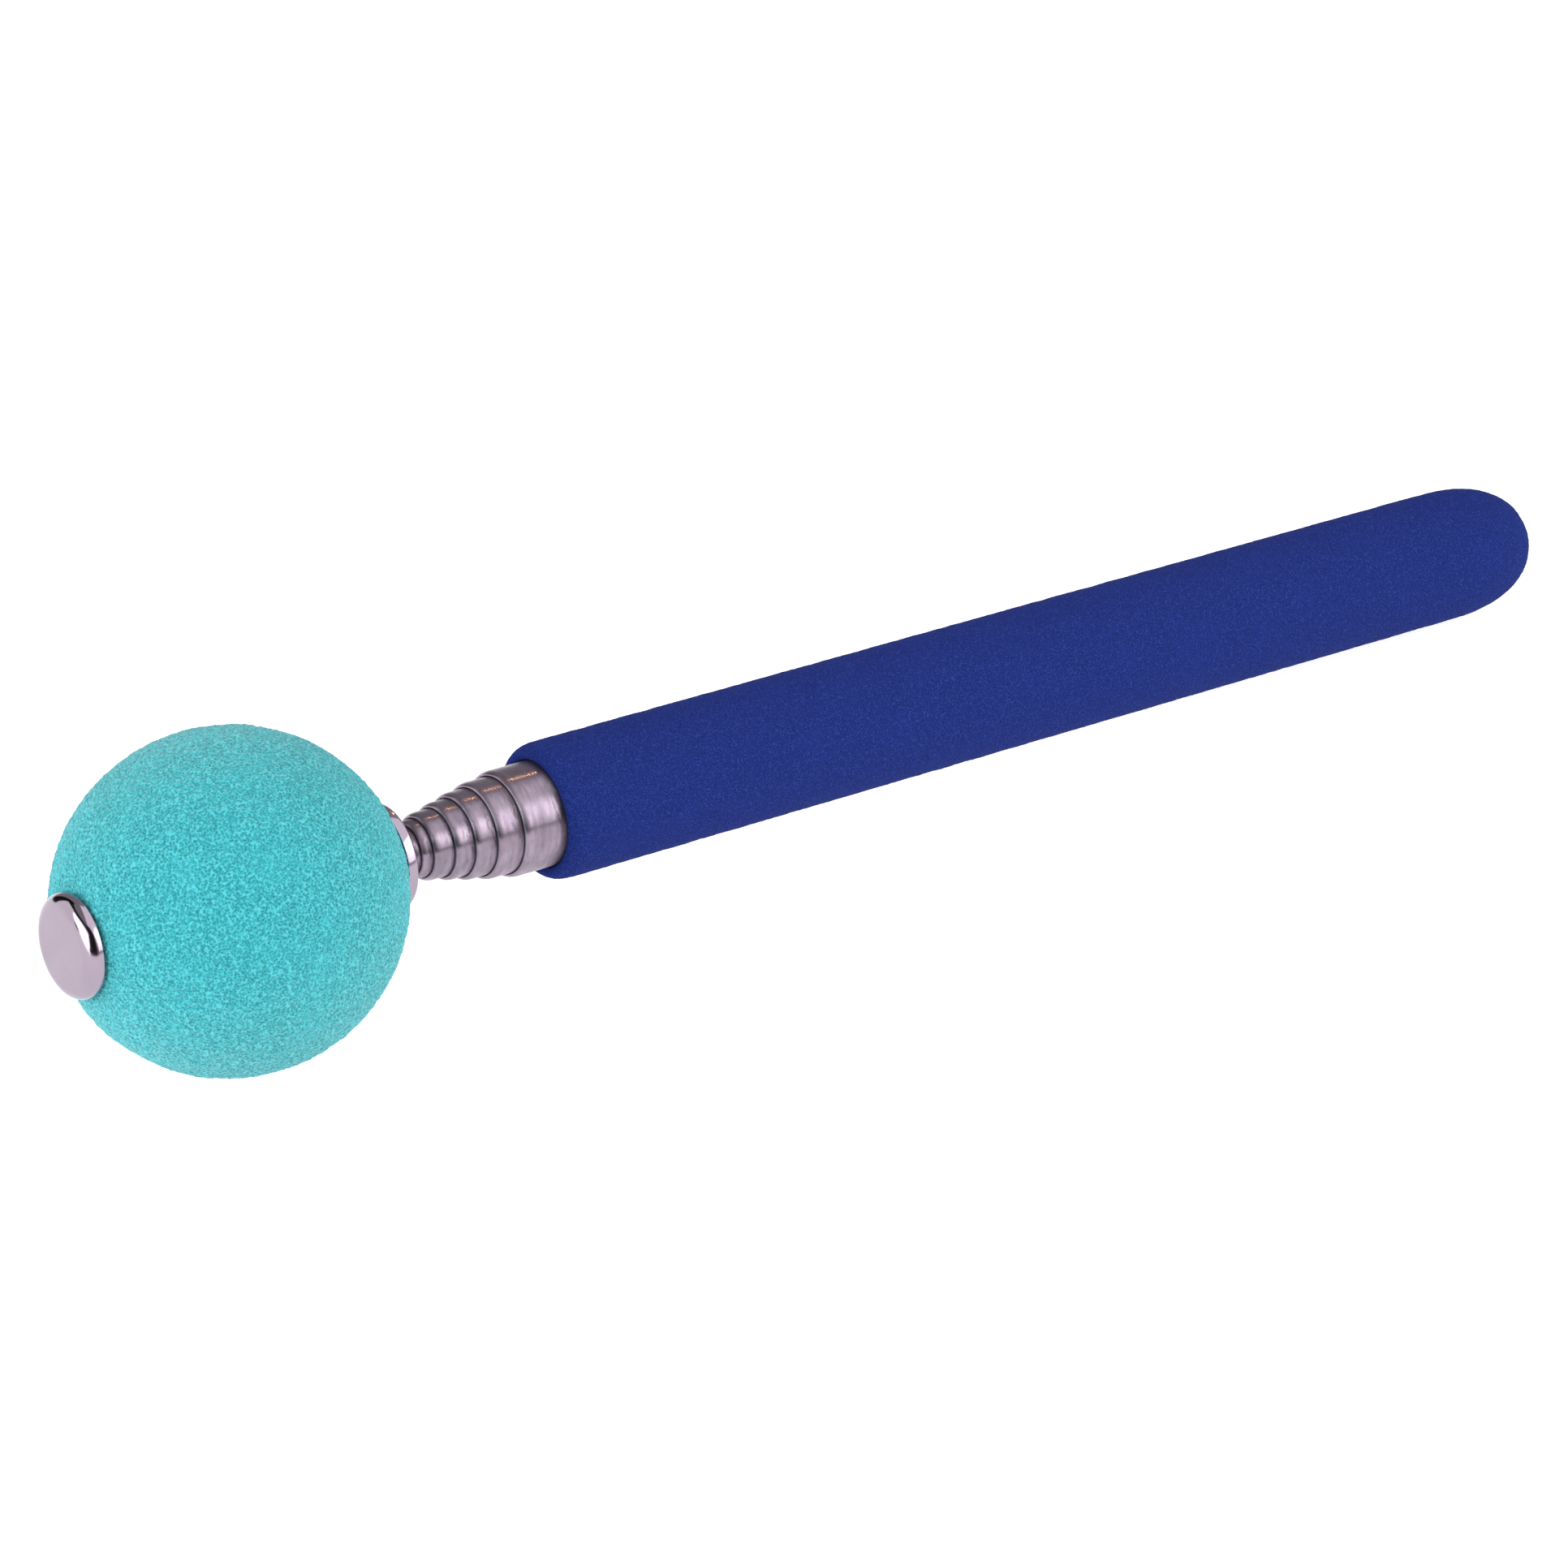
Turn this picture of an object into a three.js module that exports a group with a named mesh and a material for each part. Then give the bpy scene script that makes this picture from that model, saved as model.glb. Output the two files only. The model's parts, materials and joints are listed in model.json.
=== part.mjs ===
// Telescopic magnetic pickup tool with a foam ball at its tip, drawn closed, in millimetres.
// The tool's axis is X. The origin is the centre of the front cap's face, and +X runs to the grip.
// Every piece is turned about the axis, with the same facets, so that the pieces nest.
import * as THREE from "three";

// Facets round the axis, and steps along a rounded end.
const FACETS = 24;
const BALL_STEPS = 16;
const DOME_STEPS = 7;
const EDGE_STEPS = 3;

// Telescopic stack. Tube 1 is the largest and is fixed in the grip.
const TUBE_COUNT = 7;
const SMALLEST_TUBE_RADIUS = 2.25;
const TUBE_WALL = 0.25;
const TUBE_ROOM = 0.2; // radial room between one tube and the next
const STAND_OUT = [4.2, 2.6, 2.1, 1.9, 2.0, 1.0, 1.2]; // closed: how far each tube stands out
const MOUTH_LENGTH = 0.45; // length of the rolled-in mouth
const SHOULDER_LENGTH = 0.75; // how far back the outside starts to curve in to the mouth
const MOUTH_GAP = 0.06; // radial gap between a mouth and the tube that runs in it
const REAR_LIP = 0.5; // inward lip at a tube's back, which the next tube rests on when closed
const REST_GAP = 0.1; // gap left at every stop

// Friction sleeves, split springs in a seat near the back of each sliding tube.
const SLEEVE_LENGTH = 9;
const SLEEVE_GAP = 0.03; // between a sleeve and the tube that it rubs in
const SEAT_DEPTH = 0.08;
const SEAT_GAP = 0.02; // between a sleeve and its seat
const REAR_COLLAR = 1.0; // full-size end of the tube behind the seat

// Foam grip and the plug at the back of the largest tube.
const GRIP_LENGTH = 119.4;
const GRIP_WALL = 1.4;
const GRIP_GAP = 0.05;
const GRIP_DOME = 10.5; // length of the rounded end
const DOME_FULLNESS = 2.4; // 2 is half an ellipse, and more is squarer
const GRIP_END = 9; // foam behind the largest tube
const GRIP_EDGE = 1; // rounding of the mouth's outer edge
const GRIP_EDGE_LENGTH = 1.7;
const GRIP_MOUTH_EDGE = 0.3; // rounding of the mouth's inner edge
const PLUG_LENGTH = 5;
const PLUG_HEAD = 1.2;
const PLUG_RIB = 0.35;

// Head: spigot, flange, ball on its core, magnet and cap.
const NECK_LENGTH = 0.7; // from the flange's back to the smallest tube's mouth
const SWIVEL_GAP = 0.1;
const NECK_CUT = 0.5; // depth of the groove that the smallest tube's mouth is rolled into
const SHANK_LENGTH = 12;
const PIN_LENGTH = 8;
const FIT_GAP = 0.05; // between pressed or glued pieces
const BUSH_WALL = 0.6;
const CORE_WALL = 0.3;
const SKIRT_WALL = 0.55;
const SKIRT_LENGTH = 2.2;
const FLANGE_RADIUS = 4.9;
const FLANGE_THICKNESS = 1.1;
const FLANGE_EDGE = 0.3; // rounding of the flange's back edge
const DISC_GAP = 0.1; // between the cap or the flange and the ball's end
const CAP_RADIUS = 4.8;
const CAP_DOME = 1.25; // depth of the cap's rounded front
const CAP_FALL = 0.08; // how far its shoulder falls before the edge
const CAP_EDGE = 1.3; // width of its rounded edge
const CAP_FLAT_RADIUS = 3.4;
const CAP_RIM = 0.25;
const BALL_RADIUS = 15.5;
const BALL_LENGTH = 31.1;
const BALL_LIP = 0.35; // foam between the counterbore and the edge of the ball's flat end
const MAGNET_LENGTH = 8;

// Sizes that follow from the ones above.
const tubeStep = TUBE_WALL + TUBE_ROOM;
const tubeRadius = (n) => SMALLEST_TUBE_RADIUS + (TUBE_COUNT - n) * tubeStep;
const tubeBore = (n) => tubeRadius(n) - TUBE_WALL;
const neckRadius = tubeBore(TUBE_COUNT) - SWIVEL_GAP - NECK_CUT;
const bushRadius = neckRadius + FIT_GAP + BUSH_WALL;
const coreBore = bushRadius + FIT_GAP;
const coreRadius = coreBore + CORE_WALL;
const skirtBore = coreRadius + FIT_GAP;
const skirtRadius = skirtBore + SKIRT_WALL;
const capLength = CAP_DOME + CAP_RIM;
const headLength = capLength + DISC_GAP + BALL_LENGTH + DISC_GAP + FLANGE_THICKNESS;
const stackStandOut = STAND_OUT.reduce((sum, length) => sum + length, 0);
const gripFront = headLength + NECK_LENGTH + stackStandOut;
const outerTubeLength = STAND_OUT[0] + GRIP_LENGTH - GRIP_END;

// A sliding tube is longer than the one round it by what it stands out, less the stop at the back.
function tubeLength(n) {
  if (n === 1) return outerTubeLength;
  const stop = n === 2 ? PLUG_LENGTH + REST_GAP : REAR_LIP + REST_GAP;
  return tubeLength(n - 1) + STAND_OUT[n - 1] - stop;
}

// Finishes.
const finish = (color, roughness, metalness) => ({ color, roughness, metalness });
const BLUE_FOAM = finish(0x283c8c, 0.95, 0);
const TEAL_FOAM = finish(0x53bec8, 0.95, 0);
const STAINLESS = finish(0xb9aebb, 0.35, 1);
const CHROME = finish(0xd9d0da, 0.08, 1);
const NICKEL = finish(0xc9c3b6, 0.2, 1);
const BRONZE = finish(0xb07a45, 0.35, 1);
const BRASS = finish(0xc6a355, 0.3, 1);
const ALUMINIUM = finish(0xc4c6c8, 0.4, 1);
const NYLON = finish(0xdedbd0, 0.6, 0);

function piece(name, look, geometry) {
  const mesh = new THREE.Mesh(geometry, new THREE.MeshStandardMaterial(look));
  mesh.name = name;
  return mesh;
}

// A solid turned about X. The outline is a list of [x, radius], walked from the front over the
// outside to the back and home through the bore; it closes on itself unless it ends on the axis.
function turned(name, look, outline) {
  const onAxis = outline[0][1] === 0;
  const closed = onAxis ? outline : [...outline, outline[0]];
  const profile = closed.map(([x, radius]) => new THREE.Vector2(radius, x));
  const geometry = new THREE.LatheGeometry(profile, FACETS);
  return piece(name, look, geometry.rotateZ(-Math.PI / 2));
}

// A ring open along one facet, with its corners on the same angles as the turned pieces.
function splitRing(name, look, innerRadius, outerRadius, length) {
  const corner = (radius, i) => {
    const angle = (2 * Math.PI * i) / FACETS;
    return new THREE.Vector2(-radius * Math.cos(angle), -radius * Math.sin(angle));
  };
  const steps = Array.from({ length: FACETS }, (_, i) => i + 1);
  const outside = steps.map((i) => corner(outerRadius, i));
  const inside = steps.map((i) => corner(innerRadius, i)).reverse();
  const section = new THREE.Shape([...outside, ...inside]);
  const geometry = new THREE.ExtrudeGeometry(section, { depth: length, bevelEnabled: false });
  return piece(name, look, geometry.rotateY(Math.PI / 2));
}

// A quarter of an ellipse about (x, radius), from one angle to another, in degrees.
// 0 points to the back, 90 points away from the axis and 180 points to the front.
function arc(x, radius, halfLength, halfWidth, from, to, steps) {
  return Array.from({ length: steps + 1 }, (_, i) => {
    const angle = THREE.MathUtils.degToRad(from + ((to - from) * i) / steps);
    return [x + halfLength * Math.cos(angle), radius + halfWidth * Math.sin(angle)];
  });
}

// A rounded end that starts at x, without its tip. It is squarer than half an ellipse.
function fullDome(x, length, radius) {
  return Array.from({ length: DOME_STEPS }, (_, i) => {
    const angle = ((Math.PI / 2) * i) / DOME_STEPS;
    const along = Math.sin(angle) ** (2 / DOME_FULLNESS);
    const across = Math.cos(angle) ** (2 / DOME_FULLNESS);
    return [x + length * along, radius * across];
  });
}

// A tube's front end at x = 0: the wall rolled in to a lip of the given radius.
function rolledMouth(outerRadius, lipRadius) {
  const width = outerRadius - lipRadius;
  const drop = 0.8 * width;
  return [
    [MOUTH_LENGTH, lipRadius],
    [MOUTH_LENGTH / 5, lipRadius],
    [0, lipRadius + 0.15 * width],
    ...arc(SHOULDER_LENGTH, outerRadius - drop, SHOULDER_LENGTH, drop, 180, 90, EDGE_STEPS),
  ];
}

function tube(name, n, lipRadius) {
  const radius = tubeRadius(n);
  const bore = tubeBore(n);
  const length = tubeLength(n);
  const seatRadius = radius - SEAT_DEPTH;
  const seatBack = length - REAR_COLLAR;
  const seatFront = seatBack - SLEEVE_LENGTH - 2 * SEAT_GAP;
  const seat = [
    [seatFront, radius],
    [seatFront, seatRadius],
    [seatBack, seatRadius],
    [seatBack, radius],
  ];
  const lipped = n > 1 && n < TUBE_COUNT;
  const plainBack = [
    [length, radius],
    [length, bore],
  ];
  const lippedBack = [
    [length, radius],
    [length, tubeBore(n + 1)],
    [length - REAR_LIP, tubeBore(n + 1)],
    [length - REAR_LIP, bore],
  ];
  return turned(name, STAINLESS, [
    ...rolledMouth(radius, lipRadius),
    ...(n > 1 ? seat : []),
    ...(lipped ? lippedBack : plainBack),
    [MOUTH_LENGTH, bore],
  ]);
}

// The sleeve's front end is at x = 0.
function frictionSleeve(n) {
  const inner = tubeRadius(n) - SEAT_DEPTH + SEAT_GAP;
  const outer = tubeBore(n - 1) - SLEEVE_GAP;
  return splitRing(`friction_sleeve_${n}`, BRONZE, inner, outer, SLEEVE_LENGTH);
}

function foamGrip() {
  const bore = tubeRadius(1) + GRIP_GAP;
  const radius = bore + GRIP_WALL;
  const edge = Math.min(GRIP_EDGE, 0.72 * GRIP_WALL);
  const mouthEdge = Math.min(GRIP_MOUTH_EDGE, 0.22 * GRIP_WALL);
  const boreEnd = GRIP_LENGTH - GRIP_END + PLUG_HEAD + 2 * REST_GAP;
  return turned("foam_grip", BLUE_FOAM, [
    [boreEnd, 0],
    [boreEnd, bore],
    ...arc(mouthEdge, bore + mouthEdge, mouthEdge, mouthEdge, 270, 180, EDGE_STEPS),
    ...arc(GRIP_EDGE_LENGTH, radius - edge, GRIP_EDGE_LENGTH, edge, 180, 90, EDGE_STEPS),
    ...fullDome(GRIP_LENGTH - GRIP_DOME, GRIP_DOME, radius),
    [GRIP_LENGTH, 0],
  ]);
}

// The plug's head is behind the largest tube's end, at x = 0, and its ribbed body is in the tube.
function rearPlug() {
  const body = tubeBore(1) - FIT_GAP;
  const waist = body - PLUG_RIB;
  return turned("rear_plug", NYLON, [
    [-PLUG_LENGTH, 0],
    [-PLUG_LENGTH, waist],
    [-PLUG_LENGTH * 0.9, body],
    [-PLUG_LENGTH * 0.6, body],
    [-PLUG_LENGTH * 0.6, waist],
    [-PLUG_LENGTH * 0.4, waist],
    [-PLUG_LENGTH * 0.4, body],
    [REST_GAP, body],
    [REST_GAP, tubeRadius(1) - FIT_GAP],
    [REST_GAP + PLUG_HEAD, tubeRadius(1) - FIT_GAP],
    [REST_GAP + PLUG_HEAD, 0],
  ]);
}

// The flange's back is at x = 0. The pin goes forward into the ball's core, the collar bears on the
// flange, and the shank is held in the smallest tube by the mouth rolled into the groove.
function tipSpigot() {
  const shankRadius = tubeBore(TUBE_COUNT) - SWIVEL_GAP;
  const collarBack = NECK_LENGTH - REST_GAP;
  const grooveBack = NECK_LENGTH + MOUTH_LENGTH + REST_GAP;
  return turned("tip_spigot", STAINLESS, [
    [-FLANGE_THICKNESS - DISC_GAP - PIN_LENGTH, 0],
    [-FLANGE_THICKNESS - DISC_GAP - PIN_LENGTH, neckRadius],
    [FIT_GAP, neckRadius],
    [FIT_GAP, tubeBore(TUBE_COUNT)],
    [collarBack, tubeBore(TUBE_COUNT)],
    [collarBack, neckRadius],
    [grooveBack, neckRadius],
    [grooveBack, shankRadius],
    [grooveBack + SHANK_LENGTH, shankRadius],
    [grooveBack + SHANK_LENGTH, 0],
  ]);
}

// Rounded at the back edge. The flat front, at x = 0, bears on the ball.
function rearFlange() {
  const edgeStart = FLANGE_THICKNESS - FLANGE_EDGE;
  return turned("rear_flange", CHROME, [
    [0, neckRadius + FIT_GAP],
    [0, FLANGE_RADIUS],
    ...arc(edgeStart, FLANGE_RADIUS - FLANGE_EDGE, FLANGE_EDGE, FLANGE_EDGE, 90, 0, EDGE_STEPS),
    [FLANGE_THICKNESS, neckRadius + FIT_GAP],
  ]);
}

// The ball's front end is at x = 0. Its flat ends are just wider than the cap's skirt.
function foamBall() {
  const bore = coreRadius + FIT_GAP;
  const counterbore = skirtRadius + FIT_GAP;
  const counterboreDepth = SKIRT_LENGTH + DISC_GAP;
  const flatRadius = counterbore + BALL_LIP;
  const half = BALL_LENGTH / 2;
  const flatAngle = THREE.MathUtils.radToDeg(Math.asin(flatRadius / BALL_RADIUS));
  const halfAxis = half / Math.cos(THREE.MathUtils.degToRad(flatAngle));
  return turned("foam_ball", TEAL_FOAM, [
    [0, counterbore],
    ...arc(half, 0, halfAxis, BALL_RADIUS, 180 - flatAngle, flatAngle, BALL_STEPS),
    [BALL_LENGTH, bore],
    [counterboreDepth, bore],
    [counterboreDepth, counterbore],
  ]);
}

function bushing(name, look, outerRadius, innerRadius, length) {
  return turned(name, look, [
    [0, innerRadius],
    [0, outerRadius],
    [length, outerRadius],
    [length, innerRadius],
  ]);
}

function magnet() {
  const radius = coreBore - FIT_GAP;
  return turned("magnet", NICKEL, [
    [0, 0],
    [0, radius],
    [MAGNET_LENGTH, radius],
    [MAGNET_LENGTH, 0],
  ]);
}

// The cap's face is at x = 0. Its back seats on the ball, and its skirt grips the core.
function frontCap() {
  return turned("front_cap", CHROME, [
    [0, 0],
    [0, CAP_FLAT_RADIUS],
    ...arc(CAP_DOME, CAP_RADIUS - CAP_EDGE, CAP_DOME - CAP_FALL, CAP_EDGE, 180, 90, EDGE_STEPS),
    [capLength, CAP_RADIUS],
    [capLength, skirtRadius],
    [capLength + SKIRT_LENGTH, skirtRadius],
    [capLength + SKIRT_LENGTH, skirtBore],
    [capLength, skirtBore],
    [capLength, 0],
  ]);
}

// Puts pieces in a group whose own zero is at x in its parent.
function groupAt(x, ...members) {
  const group = new THREE.Group();
  group.position.x = x;
  group.add(...members);
  return group;
}

function headGroup() {
  const ballFront = capLength + DISC_GAP;
  const ballBack = ballFront + BALL_LENGTH;
  const flangeFront = ballBack + DISC_GAP;
  const flangeBack = flangeFront + FLANGE_THICKNESS;
  const bushLength = PIN_LENGTH;
  const core = bushing("core_sleeve", ALUMINIUM, coreRadius, coreBore, BALL_LENGTH);
  const bush = bushing("core_bush", BRASS, bushRadius, neckRadius + FIT_GAP, bushLength);
  return groupAt(
    -NECK_LENGTH - headLength,
    frontCap(),
    groupAt(ballFront, magnet(), core, foamBall()),
    groupAt(ballBack - bushLength, bush),
    groupAt(flangeFront, rearFlange()),
    groupAt(flangeBack, tipSpigot()),
  );
}

// Tube n with all that it carries: its sleeve, and the next tube or the head.
function slidingGroup(n) {
  const last = n === TUBE_COUNT;
  const lipRadius = last ? neckRadius + SWIVEL_GAP : tubeRadius(n + 1) + MOUTH_GAP;
  const sleeveFront = tubeLength(n) - REAR_COLLAR - SLEEVE_LENGTH - SEAT_GAP;
  return groupAt(
    -STAND_OUT[n - 1],
    tube(`tube_${n}`, n, lipRadius),
    groupAt(sleeveFront, frictionSleeve(n)),
    last ? headGroup() : slidingGroup(n + 1),
  );
}

const fixedTube = groupAt(
  -STAND_OUT[0],
  tube("outer_tube", 1, tubeRadius(2) + MOUTH_GAP),
  groupAt(outerTubeLength, rearPlug()),
  slidingGroup(2),
);

export default groupAt(0, groupAt(gripFront, foamGrip(), fixedTube));
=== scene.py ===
# %% [markdown]
# # A telescopic pickup tool with a foam ball tip
# The tool is a stack of thin steel tubes that slide in each other. A long blue foam sleeve covers the
# largest one, and the smallest carries a teal foam ball held between two polished discs.
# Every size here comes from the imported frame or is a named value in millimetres.

# %% Load the frame
import json
import math

import bmesh
import bpy
import numpy
from mathutils import Matrix, Vector


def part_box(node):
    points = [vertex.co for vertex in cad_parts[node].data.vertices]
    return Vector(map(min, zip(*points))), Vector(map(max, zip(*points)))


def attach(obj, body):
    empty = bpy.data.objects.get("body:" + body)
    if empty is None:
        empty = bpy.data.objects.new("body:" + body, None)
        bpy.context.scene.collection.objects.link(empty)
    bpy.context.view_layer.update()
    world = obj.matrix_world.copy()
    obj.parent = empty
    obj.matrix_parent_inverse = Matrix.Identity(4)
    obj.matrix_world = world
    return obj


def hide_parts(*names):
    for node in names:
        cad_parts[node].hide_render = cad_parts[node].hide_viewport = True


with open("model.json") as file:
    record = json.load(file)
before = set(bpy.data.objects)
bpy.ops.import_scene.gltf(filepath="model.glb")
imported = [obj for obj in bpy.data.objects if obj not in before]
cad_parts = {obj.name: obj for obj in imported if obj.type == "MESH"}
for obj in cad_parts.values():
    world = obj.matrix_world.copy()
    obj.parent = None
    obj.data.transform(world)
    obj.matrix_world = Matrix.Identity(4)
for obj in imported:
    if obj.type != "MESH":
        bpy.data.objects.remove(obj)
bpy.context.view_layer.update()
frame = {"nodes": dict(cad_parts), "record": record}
MM = 0.001

print("pieces in the frame:", len(frame["nodes"]))

# %% [markdown]
# ## Where things stand
# The tool lies on a table and touches it at two places: the ball and the far end of the grip. The ball
# is the thicker of the two, so the tool slopes. The frame keeps the tool level, so here the table is
# what slopes: its normal leans back by the angle that the two radii give.

# %% Find the table's slope
ball_low, ball_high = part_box("foam_ball")
grip_low, grip_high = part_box("foam_grip")
BALL_CENTRE = Vector(((ball_low.x + ball_high.x) / 2, 0, 0))
BALL_RADIUS = ball_high.z
GRIP_RADIUS = grip_high.z
GRIP_DOME = 10.5 * MM

resting_length = grip_high.x - GRIP_DOME - BALL_CENTRE.x
slope = math.asin((BALL_RADIUS - GRIP_RADIUS) / resting_length)
TABLE_UP = Vector((-math.sin(slope), 0, math.cos(slope)))
TABLE_POINT = BALL_CENTRE - TABLE_UP * BALL_RADIUS
print("table slope in degrees:", round(math.degrees(slope), 2))

# %% [markdown]
# ## The camera
# A long lens from a low three-quarter view: the tip comes towards the viewer, and the grip runs away to
# the upper right. The camera looks at a point on the table beside the stack, and its up direction is
# the table's, so that the picture is not tilted.

# %% Place the camera
LENS_MM = 149.07
CAMERA_DISTANCE = 620.6 * MM
LOOK_DIRECTION = Vector((0.547, 0.7028, -0.4548)).normalized()
AIM = Vector((86.15 * MM, 10.49 * MM, -11.14 * MM))


def add_camera():
    data = bpy.data.cameras.new("camera")
    data.lens = LENS_MM
    data.sensor_width = 36
    data.clip_start = 0.01
    data.clip_end = 60
    camera = bpy.data.objects.new("camera", data)
    bpy.context.scene.collection.objects.link(camera)
    right = LOOK_DIRECTION.cross(TABLE_UP).normalized()
    up = right.cross(LOOK_DIRECTION)
    turn = Matrix((right, up, -LOOK_DIRECTION)).transposed()
    place = AIM - LOOK_DIRECTION * CAMERA_DISTANCE
    camera.matrix_world = Matrix.Translation(place) @ turn.to_4x4()
    bpy.context.scene.camera = camera
    return camera


camera = add_camera()
print("camera at", [round(v, 3) for v in camera.matrix_world.translation])

# %% [markdown]
# ## Helpers for modelling by hand
# An edit-mode operator acts on whatever is selected, so each step starts with nothing selected.
# Round metal parts are turned on a lathe in the workshop. The same can be done here: draw half of the
# outline with single points, then spin it a full turn about the tool's axis, which is X.

# %% Selection and outline helpers
TURN_STEPS = 128


def deselect_all():
    if bpy.context.object and bpy.context.object.mode != "OBJECT":
        bpy.ops.object.mode_set(mode="OBJECT")
    bpy.ops.object.select_all(action="DESELECT")


def first_point(name, x, radius):
    """Starts a mesh from one vertex: a tiny plane merged at its centre."""
    deselect_all()
    bpy.ops.mesh.primitive_plane_add(size=MM, location=(x, 0, radius))
    piece = bpy.context.object
    piece.name = name
    piece.data.name = name
    bpy.ops.object.transform_apply(location=True, rotation=True, scale=True)
    bpy.ops.object.mode_set(mode="EDIT")
    bpy.ops.mesh.select_mode(type="VERT")
    bpy.ops.mesh.select_all(action="SELECT")
    bpy.ops.mesh.merge(type="CENTER")
    return piece


def draw_outline(name, outline, closed):
    """Extrudes one vertex from point to point. The outline is a list of (x, radius)."""
    piece = first_point(name, *outline[0])
    path = outline + [outline[0]] if closed else outline
    for (x0, r0), (x1, r1) in zip(path, path[1:]):
        step = (x1 - x0, 0, r1 - r0)
        bpy.ops.mesh.extrude_vertices_move(TRANSFORM_OT_translate={"value": step})
    return piece


def spin_outline(piece, steps):
    """Turns the drawn outline about X, then closes the seam and points all faces out."""
    bpy.ops.mesh.select_all(action="SELECT")
    bpy.ops.mesh.remove_doubles(threshold=1e-6)
    bpy.ops.mesh.select_all(action="SELECT")
    bpy.ops.mesh.spin(steps=steps, angle=2 * math.pi, center=(0, 0, 0), axis=(1, 0, 0))
    bpy.ops.mesh.select_all(action="SELECT")
    bpy.ops.mesh.remove_doubles(threshold=1e-6)
    bpy.ops.mesh.normals_make_consistent(inside=False)
    bpy.ops.object.mode_set(mode="OBJECT")
    return piece


def turned(name, outline, steps=TURN_STEPS, sharp=30):
    """A turned piece. It closes on itself unless the outline starts and ends on the axis."""
    closed = outline[0][1] > 0
    piece = spin_outline(draw_outline(name, outline, closed), steps)
    bpy.ops.object.shade_smooth_by_angle(angle=math.radians(sharp))
    return piece


def bend(x, radius, along, across, start, end, steps=8):
    """Points on a quarter round about (x, radius). 0 is the back, 90 outwards, 180 the front."""
    angles = [math.radians(start + (end - start) * i / steps) for i in range(steps + 1)]
    return [(x + along * math.cos(a), radius + across * math.sin(a)) for a in angles]


print("lathe steps in a turn:", TURN_STEPS)

# %% [markdown]
# ## Helpers for materials
# Each finish is one Principled shader. Noise textures drive its colour, roughness and bump. They read
# Object coordinates in metres, so a grain of 0.1 mm needs a scale of about 10000.

# %% Material helpers


def fresh_material(name, colour, roughness, metallic):
    material = bpy.data.materials.new(name)
    material.use_nodes = True
    tree = material.node_tree
    shader = tree.nodes["Principled BSDF"]
    shader.inputs["Base Color"].default_value = (*colour, 1)
    shader.inputs["Roughness"].default_value = roughness
    shader.inputs["Metallic"].default_value = metallic
    material.diffuse_color = (*colour, 1)
    return material, tree, shader


def place_on_piece(tree, stretch=(1, 1, 1)):
    """Object coordinates, stretched along each axis."""
    coordinates = tree.nodes.new("ShaderNodeTexCoord")
    mapping = tree.nodes.new("ShaderNodeMapping")
    mapping.inputs["Scale"].default_value = stretch
    tree.links.new(coordinates.outputs["Object"], mapping.inputs["Vector"])
    return mapping.outputs["Vector"]


def noise(tree, place, scale, detail=2.0, roughness=0.5):
    node = tree.nodes.new("ShaderNodeTexNoise")
    node.inputs["Scale"].default_value = scale
    node.inputs["Detail"].default_value = detail
    node.inputs["Roughness"].default_value = roughness
    tree.links.new(place, node.inputs["Vector"])
    return node.outputs["Fac"]


def cells(tree, place, scale):
    """The distance to the nearest cell's centre."""
    node = tree.nodes.new("ShaderNodeTexVoronoi")
    node.inputs["Scale"].default_value = scale
    tree.links.new(place, node.inputs["Vector"])
    return node.outputs["Distance"]


def attribute(tree, name):
    node = tree.nodes.new("ShaderNodeAttribute")
    node.attribute_name = name
    return node.outputs["Fac"]


def spread(tree, value, low_in, high_in, low_out, high_out):
    """Maps a range of values to another range, and clamps outside it."""
    node = tree.nodes.new("ShaderNodeMapRange")
    node.inputs["From Min"].default_value = low_in
    node.inputs["From Max"].default_value = high_in
    node.inputs["To Min"].default_value = low_out
    node.inputs["To Max"].default_value = high_out
    tree.links.new(value, node.inputs["Value"])
    return node.outputs["Result"]


def maths(tree, operation, first, second):
    node = tree.nodes.new("ShaderNodeMath")
    node.operation = operation
    for socket, value in zip(node.inputs, (first, second)):
        if isinstance(value, (int, float)):
            socket.default_value = value
        else:
            tree.links.new(value, socket)
    return node.outputs["Value"]


def blend_colours(tree, factor, first, second):
    """The first colour where the factor is 0 and the second where it is 1."""
    node = tree.nodes.new("ShaderNodeMix")
    node.data_type = "RGBA"
    tree.links.new(factor, node.inputs["Factor"])
    for socket, value in zip((node.inputs["A"], node.inputs["B"]), (first, second)):
        if isinstance(value, tuple):
            socket.default_value = (*value, 1)
        else:
            tree.links.new(value, socket)
    return node.outputs["Result"]


def bump(tree, shader, height, depth, strength):
    node = tree.nodes.new("ShaderNodeBump")
    node.inputs["Distance"].default_value = depth
    node.inputs["Strength"].default_value = strength
    tree.links.new(height, node.inputs["Height"])
    tree.links.new(node.outputs["Normal"], shader.inputs["Normal"])


def dress(piece, material):
    piece.data.materials.clear()
    piece.data.materials.append(material)


print("material helpers ready")
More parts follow.
